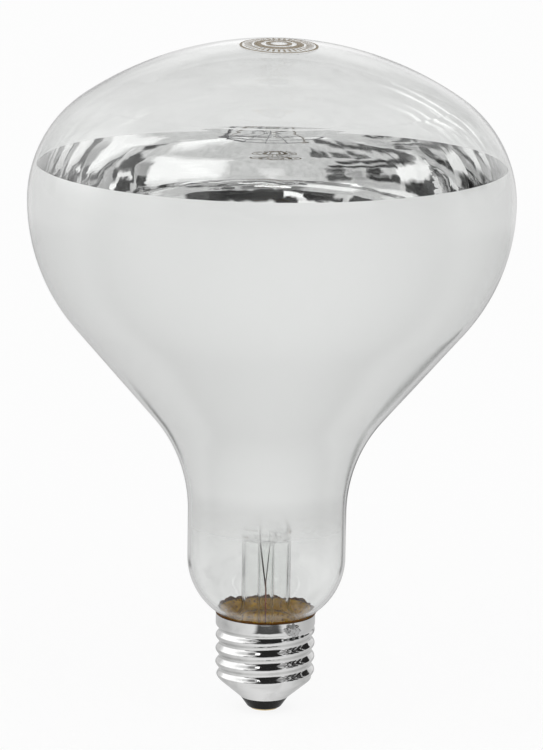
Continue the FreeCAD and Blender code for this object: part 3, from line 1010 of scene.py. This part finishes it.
@dataclass
class FilamentRing:
    """The tungsten coil, held in a broken ring by its supports."""

    ring_radius: float = 15.5 * MM
    height: float = 95.932 * MM
    press_angle: float = 67.5
    gap_angle: float = 100.0
    support_count: int = 6
    bend: float = 2.5 * MM
    bend_segments: int = 6
    coil_radius: float = 0.6 * MM
    wire_radius: float = 0.11 * MM
    pitch: float = 0.42 * MM
    points_in_turn: int = 12

    def build(self) -> None:
        """Wind the wire round the ring's line."""
        curve = bpy.data.curves.new("filament_wire", "CURVE")
        curve.dimensions = "3D"
        curve.bevel_depth = self.wire_radius
        curve.bevel_resolution = 1
        curve.use_fill_caps = True
        points = self.winding(self.route())
        spline = curve.splines.new("POLY")
        spline.points.add(len(points) - 1)
        for target, point in zip(spline.points, points):
            target.co = (*point, 1.0)
        maker = bpy.data.objects.new("filament_maker", curve)
        mesh = bpy.data.meshes.new_from_object(maker)
        bpy.data.objects.remove(maker)
        mesh.materials.clear()
        finish = WorkedMetal("tungsten_wire", Metal.TUNGSTEN)
        Piece("filament_coil", "tungsten", [finish], ["filament"], sharp=80.0).from_mesh(mesh)

    def route(self) -> list[Vector]:
        """The ring's line: straight runs between the supports, with its corners rounded.

        Returns:
            The line's points in order.
        """
        steps = self.support_count + 1
        step = math.radians((360.0 - self.gap_angle) / steps)
        first = math.radians(self.press_angle + 90.0 + self.gap_angle / 2)
        radius = self.ring_radius + self.bend * (1 / math.cos(step / 2) - 1)
        turns = [first + step * index for index in range(steps + 1)]
        shape = bmesh.new()
        verts = [
            shape.verts.new((radius * math.cos(turn), radius * math.sin(turn), self.height)) for turn in turns
        ]
        for pair in zip(verts, verts[1:]):
            shape.edges.new(pair)
        bmesh.ops.bevel(
            shape,
            geom=verts[1:-1],
            offset=self.bend * math.tan(step / 2),
            offset_type="OFFSET",
            segments=self.bend_segments,
            profile=0.5,
            affect="VERTICES",
            material=-1,
        )
        line = self.walk(shape, verts[0].co.copy())
        shape.free()
        return line

    @staticmethod
    def walk(shape: bmesh.types.BMesh, start: Vector) -> list[Vector]:
        """Follow an open wire from one end.

        Args:
            shape: The wire's bmesh.
            start: The place of that end.

        Returns:
            The wire's points in order.
        """
        here = min(shape.verts, key=lambda vert: (vert.co - start).length)
        line = [here.co.copy()]
        came_from = None
        while True:
            onward = [edge for edge in here.link_edges if edge is not came_from]
            if not onward:
                return line
            came_from = onward[0]
            here = came_from.other_vert(here)
            line.append(here.co.copy())

    def winding(self, line: list[Vector]) -> list[Vector]:
        """Wind a helix about a flat line, one turn to a pitch.

        Args:
            line: The line's points.

        Returns:
            The helix's points.
        """
        mean_radius = self.coil_radius - self.wire_radius
        up = Vector((0.0, 0.0, 1.0))
        step = self.pitch / self.points_in_turn
        points: list[Vector] = []
        travelled = 0.0
        target = 0.0
        for start, end in zip(line, line[1:]):
            run = (end - start).length
            if run < 1e-9:
                continue
            along = (end - start) / run
            across = along.cross(up)
            while target <= travelled + run:
                phase = 2 * math.pi * target / self.pitch
                middle = start + along * (target - travelled)
                points.append(middle + mean_radius * (across * math.cos(phase) + up * math.sin(phase)))
                target += step
            travelled += run
        return points


@dataclass
class StemMount:
    """The glass stem in the neck, with the leads and supports that it carries."""

    glass_parts: tuple[str, ...] = ("stem_press", "exhaust_tube", "arbor_rod")
    inner_leads: tuple[str, ...] = ("inner_lead_a", "inner_lead_b")
    outer_leads: tuple[str, ...] = ("shell_lead", "contact_lead", "seal_wire_a", "seal_wire_b")
    support_count: int = 6
    refraction: float = 1.30
    ripple_scale: float = 90.0
    ripple_relief: Relief = Relief(0.25, 0.2 * MM)
    lead_patches: float = 140.0
    lead_scorch: Span = (28.0 * MM, 36.0 * MM)

    def dress(self, frame: dict[str, Any]) -> None:
        """Finish the solids that are carried over.

        Args:
            frame: What the frame's load returned.
        """
        stem = BlownGlass(
            "stem_glass",
            refraction=self.refraction,
            ripple_scale=self.ripple_scale,
            ripple_relief=self.ripple_relief,
        )
        dress(frame, self.glass_parts, stem)
        dress(frame, self.inner_leads, WorkedMetal("nickel_lead", Metal.NICKEL))
        copper = WorkedMetal("copper_lead", Metal.COPPER, self.lead_patches, scorch=self.lead_scorch)
        dress(frame, self.outer_leads, copper)
        supports = [f"support_wire_{number}" for number in range(1, self.support_count + 1)]
        dress(frame, supports, WorkedMetal("molybdenum_wire", Metal.MOLYBDENUM))


@dataclass
class CementRing:
    """The baked cement between the glass and the shell, squeezed out raggedly at the rim."""

    outline: BulbOutline = field(default_factory=BulbOutline)
    outer_radius: float = 12.70 * MM
    groove_radius: float = 11.75 * MM
    bore_radius: float = 9.65 * MM
    rim_height: float = 25.8 * MM
    rim_gap: float = 0.3 * MM
    rim_on_glass: float = 12.75 * MM
    step_height: float = 24.45 * MM
    foot_height: float = 18.094 * MM
    overhang: float = 0.65 * MM
    ragged: float = 0.90 * MM
    ragged_scale: float = 330.0
    ragged_limits: Span = (-0.6, 1.0)
    ragged_above: float = 0.05
    embed: float = 0.03 * MM
    steps: int = 192
    arc_step: float = 9.0
    straight_run: float = 0.5 * MM

    def build(self) -> None:
        """Turn the section, then pull its rim up and down the glass."""
        shape = turned(self.section(), self.steps, ring=True)
        lean = math.radians(self.outline.heel_angle)
        out_share, up_share = math.sin(lean), math.cos(lean)
        top = self.rim_height + self.rim_gap + self.overhang * up_share
        for vert in shape.verts:
            share = (vert.co.z - self.rim_height) / (top - self.rim_height)
            if share > self.ragged_above:
                out = Vector((vert.co.x, vert.co.y)).normalized() * out_share
                wave = limited(lumps(vert.co, self.ragged_scale, 3), *self.ragged_limits)
                vert.co += Vector((out.x, out.y, up_share)) * self.ragged * share * wave
        Piece("cement_ring", "cement", [BakedCement("baked_cement")], ["basing_cement"]).from_shape(shape)

    def section(self) -> Section:
        """The half section, whose inner side lies a hair inside the glass that it is baked on.

        Returns:
            The section's points, in a ring.
        """
        outline = self.outline
        lean = math.radians(outline.heel_angle)
        glass_radius = self.rim_on_glass + self.overhang * math.sin(lean) - self.embed * math.cos(lean)
        glass_height = self.rim_height + self.rim_gap + self.overhang * math.cos(lean)
        glass_height += self.embed * math.sin(lean)
        rim = (glass_radius, glass_height)
        throat = outline.arcs(self.embed)[-1]
        round_throat = throat.points(self.arc_step)
        down_glass = straight(rim, round_throat[0], self.straight_run) + round_throat[1:]
        drop = (self.outer_radius - self.groove_radius) / math.tan(lean)
        outside = [
            (round_throat[-1][0], outline.seal_height),
            (self.bore_radius, outline.seal_height),
            (self.bore_radius, self.foot_height),
            (self.groove_radius, self.foot_height),
            (self.groove_radius, self.step_height - drop),
            (self.outer_radius, self.step_height),
            (self.outer_radius, self.rim_height),
        ]
        bulge = ((rim[0] + self.outer_radius) / 2 + self.overhang / 3, (rim[1] + self.rim_height) / 2)
        return [rim] + down_glass + outside + [bulge]


@dataclass
class ScrewCap:
    """The screw cap: shell, insulator, contact and solder."""

    solder_azimuth: float = 303.0
    solder_height: float = 23.9 * MM
    skirt_radius: float = 13.05 * MM
    solder_width: float = 2.95 * MM
    solder_rise: float = 2.25 * MM
    solder_proud: float = 0.90 * MM
    lump_share: float = 0.48
    lump_scale: float = 820.0
    contact_patches: float = 500.0
    contact_roughness: Span = (0.12, 0.3)

    def build(self) -> None:
        """The solder lump on the skirt, uneven as it set."""
        shape = bmesh.new()
        verts = bmesh.ops.create_icosphere(shape, subdivisions=5, radius=1.0)["verts"]
        bmesh.ops.scale(shape, verts=verts, vec=(self.solder_proud, self.solder_width, self.solder_rise))
        turn = math.radians(self.solder_azimuth)
        bmesh.ops.rotate(shape, verts=verts, cent=ORIGIN, matrix=Matrix.Rotation(turn, 3, "Z"))
        for vert in shape.verts:
            lump = limited(lumps(vert.co, self.lump_scale, 4), -1.0, 1.0)
            vert.co *= 1.0 - self.lump_share * (1.0 + lump) / 2
        centre = (self.skirt_radius * math.cos(turn), self.skirt_radius * math.sin(turn), self.solder_height)
        bmesh.ops.translate(shape, verts=shape.verts[:], vec=centre)
        Piece("side_solder_lump", "solder", [Solder("lumpy_solder")], ["side_solder"]).from_shape(shape)

    def dress(self, frame: dict[str, Any]) -> None:
        """Finish the solids that are carried over.

        Args:
            frame: What the frame's load returned.
        """
        brass = WorkedMetal(
            "pressed_brass",
            Metal.BRASS,
            self.contact_patches,
            roughness=self.contact_roughness,
        )
        dress(frame, ["screw_shell"], PlatedShell("plated_shell"))
        dress(frame, ["base_insulator"], BlackGlass("black_glass"))
        dress(frame, ["centre_contact"], brass)
        dress(frame, ["tip_solder"], Solder("tip_solder"))


@dataclass(frozen=True)
class Panel:
    """A soft-edged stretch of the studio's walls, with angles in degrees seen from the lamp.

    Azimuth 0 is the camera's side and 90 is the camera's right.
    """

    azimuth: float
    half_width: float
    low: float
    high: float
    level: float
    soft: float = 2.0


@dataclass(frozen=True)
class DarkOval:
    """A dark oval on the tent that only the bare cap mirrors, with angles in degrees as a Panel's are."""

    azimuth: float
    elevation: float
    half_width: float
    half_height: float
    soft: float = 0.08


@dataclass(frozen=True)
class FloorStrip:
    """A dark strip on the floor, with its turn in degrees from straight across."""

    middle: Point
    half_length: float
    half_width: float
    turn: float
    level: float = 0.03
    soft: float = 0.012


@dataclass(frozen=True)
class Feathers:
    """Slanting bright strokes behind the lamp on the right, as a brushed reflector throws them.

    The angles are degrees, on axes turned from those of azimuth and elevation.
    """

    turn: float = 36.9
    across: Span = (-75.0, -50.0)
    along: Span = (124.0, 146.0)
    soft: float = 6.0
    strokes: Clouds = Clouds(1.0, 4.0, 0.3, (0.05, 0.4, 1.0))
    stroke_edge: Span = (0.5, 0.68)
    level: float = 2.2


class Bounce(Enum):
    """Depths that tell how a ray went, each between two whole numbers of bounces."""

    FIRST = 0.5
    THROUGH_WALL = 3.5


@dataclass
class Studio:
    """A white floor in a light tent, and the camera.

    What looks straight at the floor or the tent sees white, the lamp is lit by a soft front light, and what
    mirrors the studio sees the tent's panels and the floor's strips.
    """

    floor_half: float = 6.0
    floor_white: float = 0.88
    paper: Colour = grey(0.95)
    lens: float = 217.39
    sensor_width: float = 36.0
    clip_end: float = 50.0
    camera_place: Place = (0.0006, -1.150, 0.334)
    aim: Place = (0.0006, 0.0, 0.08944)
    roll: float = 0.9
    seen_through: float = 0.80
    front_light: float = 1.13
    back_light: float = 0.28
    light_lean: Place = (0.0, -0.90, 0.43)
    foot_reach: Span = (0.03, 0.25)
    foot_shade: float = 0.80
    floor_side: float = 0.62
    floor_swing: float = 0.30
    floor_back: float = 0.58
    floor_far: Span = (0.50, 0.75)
    floor_far_level: float = 0.74
    floor_strips: tuple[FloorStrip, ...] = (
        FloorStrip((0.105, 0.135), 0.060, 0.010, 65.6),
        FloorStrip((0.056, 0.220), 0.026, 0.012, 111.0),
        FloorStrip((-0.077, 0.125), 0.016, 0.012, 100.0),
    )
    glare: float = 0.20
    glare_turn: Span = (-0.2, 0.2)
    feathers: Feathers = Feathers()
    tent_level: float = 0.80
    folds: Clouds = Clouds(13.0, 4.0, 0.4, (1.0, 1.0, 0.2))
    fold_edge: Span = (0.35, 0.6)
    fold_shade: float = 0.85
    stir_across: float = 12.0
    stir_across_by: Clouds = Clouds(3.5, 3.0, 0.8)
    stir_up: float = 5.0
    stir_up_by: Clouds = Clouds(4.5, 3.0, 0.8)
    panels: tuple[Panel, ...] = (
        Panel(0.0, 60.0, 52.0, 90.0, 0.20, 6.0),
        Panel(180.0, 10.0, 4.0, 24.0, 1.05, 5.0),
        Panel(-160.0, 16.0, -4.0, 13.0, 0.70, 4.0),
        Panel(160.0, 16.0, -4.0, 13.0, 0.84, 4.0),
        Panel(-88.0, 44.0, 8.0, 44.0, 1.35, 7.0),
        Panel(-45.0, 10.0, 16.0, 30.0, 0.45, 4.0),
        Panel(-22.0, 12.0, 17.0, 33.0, 0.03),
        Panel(-48.0, 8.0, 6.0, 17.0, 0.05),
        Panel(0.5, 34.5, 7.5, 17.5, 0.03, 1.0),
        Panel(-22.0, 9.0, 13.5, 16.5, 1.10, 1.0),
        Panel(15.0, 12.0, 15.5, 29.0, 1.20),
        Panel(36.0, 14.0, 16.0, 29.0, 1.30),
        Panel(18.0, 13.0, 29.5, 37.0, 0.06),
        Panel(80.0, 38.0, 29.5, 35.0, 0.04),
        Panel(38.0, 11.0, 33.5, 39.5, 0.05),
        Panel(60.0, 13.0, 37.0, 43.0, 0.04),
        Panel(90.0, 18.0, 39.5, 45.5, 0.06),
        Panel(62.0, 10.0, 47.5, 52.0, 0.10),
        Panel(86.0, 14.0, 52.5, 58.0, 0.10),
        Panel(112.0, 9.0, 54.0, 62.0, 0.10),
        Panel(95.0, 10.0, 12.0, 28.0, 0.45, 4.0),
        Panel(74.0, 8.0, 20.0, 29.0, 0.05),
        Panel(67.0, 17.0, 13.5, 20.0, 0.05),
        Panel(115.0, 8.0, 8.0, 28.0, 0.08, 3.0),
        Panel(38.0, 6.0, 7.0, 14.0, 0.06),
        Panel(78.0, 24.0, 3.0, 12.0, 0.60, 3.0),
        Panel(-11.5, 5.5, 10.0, 13.5, 1.30, 0.8),
        Panel(-4.0, 20.0, 40.5, 49.0, 1.90),
        Panel(-2.0, 34.0, 57.5, 63.0, 1.90, 1.5),
    )
    cap_dark: float = 0.02
    cap_strip: FloorStrip = FloorStrip((0.012, -0.094), 0.046, 0.024, 0.0, 0.02, 0.010)
    cap_ovals: tuple[DarkOval, ...] = (
        DarkOval(6.8, 36.0, 35.0, 38.0),
        DarkOval(66.0, 27.0, 5.0, 21.0),
        DarkOval(81.0, 27.0, 5.0, 21.0),
        DarkOval(97.0, 27.0, 6.0, 21.0),
        DarkOval(119.0, 27.0, 12.0, 21.0),
    )

    def build(self) -> None:
        """Set up the floor, the light and the camera."""
        scene = bpy.context.scene
        scene.view_settings.view_transform = "Standard"
        scene.cycles.max_bounces = 32
        scene.cycles.glossy_bounces = 24
        scene.cycles.transmission_bounces = 32
        scene.cycles.transparent_max_bounces = 24
        scene.cycles.blur_glossy = 0.0
        self.build_floor()
        self.build_light()
        self.build_camera()

    def build_floor(self) -> None:
        """A pale floor that shows white and keeps a faint shadow."""
        shape = bmesh.new()
        bmesh.ops.create_grid(shape, x_segments=1, y_segments=1, size=self.floor_half)
        floor = linked("studio_floor", meshed("studio_floor", shape))
        material = bpy.data.materials.new("floor_white")
        material.use_nodes = True
        material.cycles.emission_sampling = "NONE"
        self.paint_floor(Graph(material.node_tree))
        floor.data.materials.append(material)

    def paint_floor(self, graph: Graph) -> None:
        """Paper that keeps a little shadow under the white that the camera, mirrors and glass see.

        Args:
            graph: The floor's node tree.
        """
        path = graph.add("ShaderNodeLightPath").outputs
        seen = graph.math("MAXIMUM", path["Is Camera Ray"], path["Is Glossy Ray"])
        seen = graph.math("MAXIMUM", seen, path["Is Transmission Ray"])
        place = graph.place()
        heading = graph.vector("NORMALIZE", "Vector", place)
        pattern = self.floor_pattern(graph, place)
        pattern = graph.math("MULTIPLY", pattern, self.glare_left(graph, path, heading))
        by_cap = graph.math("MULTIPLY", self.on_cap(graph, path), self.on_strip(graph, place, self.cap_strip))
        pattern = graph.choose(by_cap, pattern, self.cap_strip.level)
        # painted shadow: the floor's glow that lights the lamp is dimmer near the lamp's foot
        light = graph.math("MULTIPLY", self.painted_foot_shadow(graph, place), self.frontal(graph, heading, FRONT))
        level = self.by_path(graph, path, light, pattern)
        share = graph.math("MULTIPLY", seen, self.floor_white)
        paper = graph.add("ShaderNodeBsdfDiffuse", {"Color": self.paper}).outputs[0]
        white = graph.add("ShaderNodeEmission", {"Color": grey(1.0), "Strength": level}).outputs[0]
        mixed = graph.add("ShaderNodeMixShader", {0: share, 1: paper, 2: white}).outputs[0]
        graph.add("ShaderNodeOutputMaterial", {"Surface": mixed})

    def build_light(self) -> None:
        """White for what looks straight at it, soft front light, and the tent for what mirrors it."""
        world = bpy.data.worlds.new("studio")
        bpy.context.scene.world = world
        world.use_nodes = True
        graph = Graph(world.node_tree)
        path = graph.add("ShaderNodeLightPath").outputs
        aim = graph.add("ShaderNodeTexCoord").outputs["Generated"]
        angles = self.angles(graph, aim)
        tent = graph.math("MULTIPLY", self.tent(graph, aim, angles), self.glare_left(graph, path, aim))
        strokes = graph.math("MULTIPLY", self.on_glass(graph, path), self.strokes(graph, angles))
        pattern = self.cap_pattern(graph, path, angles, graph.math("ADD", tent, strokes))
        level = self.by_path(graph, path, self.frontal(graph, aim, self.light_lean), pattern)
        light = graph.add("ShaderNodeBackground", {"Color": grey(1.0), "Strength": level}).outputs[0]
        graph.add("ShaderNodeOutputWorld", {"Surface": light})

    def by_path(self, graph: Graph, path: Any, light: Socket, pattern: Socket) -> Socket:
        """The brightness of the floor or the tent, by what sees it.

        Args:
            graph: The node tree.
            path: The light path's outputs.
            light: The brightness that lights other surfaces.
            pattern: The brightness that mirrors show.

        Returns:
            The brightness socket, which is white for what looks straight at it.
        """
        level = graph.choose(path["Is Transmission Ray"], 1.0, self.seen_through)
        lit = graph.math("GREATER_THAN", path["Diffuse Depth"], Bounce.FIRST.value)
        mirrored = graph.math("GREATER_THAN", path["Glossy Depth"], Bounce.FIRST.value)
        return graph.choose(mirrored, graph.choose(lit, level, light), pattern)

    def frontal(self, graph: Graph, heading: Any, front: Place) -> Socket:
        """Light that falls off evenly from the front to the back.

        Args:
            graph: The node tree.
            heading: The direction that the light comes from.
            front: The direction that is brightest.

        Returns:
            The brightness socket.
        """
        facing = graph.vector("DOT_PRODUCT", "Value", heading, front)
        swing = (self.front_light - self.back_light) / 2
        return graph.math("MULTIPLY_ADD", facing, swing, (self.front_light + self.back_light) / 2)

    def painted_foot_shadow(self, graph: Graph, place: Socket) -> Socket:
        """The share of light that the floor sends up, less by the lamp's foot: a painted shadow of the lamp
        in the floor's glow.
        """
        reach = graph.vector("LENGTH", "Value", place)
        return graph.spread(reach, self.foot_reach, (self.foot_shade, 1.0))

    @staticmethod
    def on_glass(graph: Graph, path: Any) -> Socket:
        """1 for what the outer glass mirrors without letting it in, and 0 elsewhere."""
        outside = graph.math("LESS_THAN", path["Transmission Depth"], Bounce.THROUGH_WALL.value)
        return graph.math("MULTIPLY", path["Is Singular Ray"], outside)

    @staticmethod
    def on_cap(graph: Graph, path: Any) -> Socket:
        """1 for what the bare cap mirrors, and 0 for what glass mirrors or lets through."""
        bare = graph.math("LESS_THAN", path["Transmission Depth"], Bounce.FIRST.value)
        return graph.math("MULTIPLY", bare, graph.math("SUBTRACT", 1.0, path["Is Singular Ray"]))

    def glare_left(self, graph: Graph, path: Any, heading: Any) -> Socket:
        """The share that is kept of what the outer glass mirrors from the front, and 1 elsewhere.

        Args:
            graph: The node tree.
            path: The light path's outputs.
            heading: The direction of what is mirrored.

        Returns:
            The share's socket.
        """
        ahead = graph.spread(graph.vector("DOT_PRODUCT", "Value", heading, FRONT), self.glare_turn)
        return graph.choose(graph.math("MULTIPLY", self.on_glass(graph, path), ahead), 1.0, self.glare)

    def floor_pattern(self, graph: Graph, place: Socket) -> Socket:
        """The floor's brightness as the lamp mirrors it: darker behind, with a few dark strips.

        Args:
            graph: The floor's node tree.
            place: The place on the floor.

        Returns:
            The brightness socket.
        """
        reach = graph.vector("LENGTH", "Value", place)
        behind = graph.math("DIVIDE", graph.parts(place)["Y"], reach)
        level = graph.math("MULTIPLY_ADD", behind, -self.floor_swing, self.floor_side)
        level = graph.math("MAXIMUM", level, self.floor_back)
        level = graph.choose(graph.spread(reach, self.floor_far), level, self.floor_far_level)
        for strip in self.floor_strips:
            level = graph.choose(self.on_strip(graph, place, strip), level, strip.level)
        return level

    @staticmethod
    def on_strip(graph: Graph, place: Socket, strip: FloorStrip) -> Socket:
        """1 on a strip of the floor, with soft edges, and 0 elsewhere.

        Args:
            graph: The floor's node tree.
            place: The place on the floor.
            strip: The strip.

        Returns:
            The result's socket.
        """
        local = graph.parts(graph.local(place, strip.turn, (*strip.middle, 0.0)))
        along = graph.inside(local["X"], -strip.half_length, strip.half_length, strip.soft)
        across = graph.inside(local["Y"], -strip.half_width, strip.half_width, strip.soft)
        return graph.math("MULTIPLY", along, across)

    @staticmethod
    def angles(graph: Graph, aim: Socket) -> tuple[Socket, Socket]:
        """A direction in degrees.

        Args:
            graph: The world's node tree.
            aim: The direction's socket.

        Returns:
            Azimuth, from the camera's side towards its right, and elevation.
        """
        parts = graph.parts(aim)
        backwards = graph.math("MULTIPLY", parts["Y"], -1.0)
        azimuth = graph.math("DEGREES", graph.math("ARCTAN2", parts["X"], backwards))
        return azimuth, graph.math("DEGREES", graph.math("ARCSINE", parts["Z"]))

    @staticmethod
    def aside(graph: Graph, azimuth: Socket, middle: float) -> Socket:
        """How far an azimuth lies from another, the short way round."""
        return graph.math("WRAP", graph.math("SUBTRACT", azimuth, middle), 180.0, -180.0)

    @staticmethod
    def stirred(graph: Graph, value: Socket, clouds: Socket, reach: float) -> Socket:
        """A value moved to and fro by a cloudy pattern."""
        return graph.math("MULTIPLY_ADD", graph.math("SUBTRACT", clouds, 0.5), 2 * reach, value)

    def tent(self, graph: Graph, aim: Socket, angles: tuple[Socket, Socket]) -> Socket:
        """The tent's brightness by direction, with folds in its cloth and no straight edge.

        Args:
            graph: The world's node tree.
            aim: The direction's socket.
            angles: Its azimuth and elevation.

        Returns:
            The brightness socket.
        """
        azimuth = self.stirred(graph, angles[0], graph.noise(aim, self.stir_across_by), self.stir_across)
        elevation = self.stirred(graph, angles[1], graph.noise(aim, self.stir_up_by), self.stir_up)
        folds = graph.spread(graph.noise(aim, self.folds), self.fold_edge, (self.fold_shade, 1.0))
        level = graph.math("MULTIPLY", folds, self.tent_level)
        for panel in self.panels:
            aside = self.aside(graph, azimuth, panel.azimuth)
            across = graph.inside(aside, -panel.half_width, panel.half_width, panel.soft)
            along = graph.inside(elevation, panel.low, panel.high, panel.soft)
            level = graph.choose(graph.math("MULTIPLY", across, along), level, panel.level)
        return level

    def strokes(self, graph: Graph, angles: tuple[Socket, Socket]) -> Socket:
        """The brightness that the feathers add to the tent.

        Args:
            graph: The world's node tree.
            angles: A direction's azimuth and elevation.

        Returns:
            The brightness socket.
        """
        feathers = self.feathers
        flat = graph.add("ShaderNodeCombineXYZ", {"X": angles[0], "Y": angles[1]}).outputs["Vector"]
        local = graph.local(flat, feathers.turn)
        along = graph.inside(graph.parts(local)["X"], *feathers.along, feathers.soft)
        across = graph.inside(graph.parts(local)["Y"], *feathers.across, feathers.soft)
        strokes = graph.spread(graph.noise(local, feathers.strokes), feathers.stroke_edge)
        window = graph.math("MULTIPLY", along, across)
        return graph.math("MULTIPLY", graph.math("MULTIPLY", window, strokes), feathers.level)

    def cap_pattern(self, graph: Graph, path: Any, angles: tuple[Socket, Socket], level: Socket) -> Socket:
        """The tent's brightness with the dark ovals that the bare cap mirrors.

        Args:
            graph: The world's node tree.
            path: The light path's outputs.
            angles: A direction's azimuth and elevation.
            level: The brightness without the ovals.

        Returns:
            The brightness socket.
        """
        bare = self.on_cap(graph, path)
        for oval in self.cap_ovals:
            across = graph.math("DIVIDE", self.aside(graph, angles[0], oval.azimuth), oval.half_width)
            along = graph.math("DIVIDE", graph.math("SUBTRACT", angles[1], oval.elevation), oval.half_height)
            reach = graph.math("MULTIPLY_ADD", across, across, graph.math("MULTIPLY", along, along))
            inside = graph.spread(reach, (1.0 + oval.soft, 1.0 - oval.soft))
            level = graph.choose(graph.math("MULTIPLY", bare, inside), level, self.cap_dark)
        return level

    def build_camera(self) -> None:
        """The camera at the photograph's angle."""
        data = bpy.data.cameras.new("camera")
        data.lens = self.lens
        data.sensor_width = self.sensor_width
        data.dof.use_dof = False
        data.clip_end = self.clip_end
        camera = linked("camera", data)
        camera.location = self.camera_place
        heading = (Vector(self.aim) - Vector(self.camera_place)).to_track_quat("-Z", "Y")
        roll = Quaternion((0.0, 0.0, 1.0), math.radians(self.roll))
        camera.rotation_mode = "QUATERNION"
        camera.rotation_quaternion = heading @ roll
        bpy.context.scene.camera = camera


def main() -> None:
    """Load the frame and build the lamp and the studio around it."""
    logging.basicConfig(level=logging.INFO, format="%(name)s: %(message)s")
    for thing in list(bpy.data.objects):
        bpy.data.objects.remove(thing)
    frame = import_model()
    Studio().build()
    Envelope().build()
    FaceMark().build()
    FilamentRing().build()
    StemMount().dress(frame)
    CementRing().build()
    cap = ScrewCap()
    cap.build()
    cap.dress(frame)


if __name__ == "__main__":
    main()
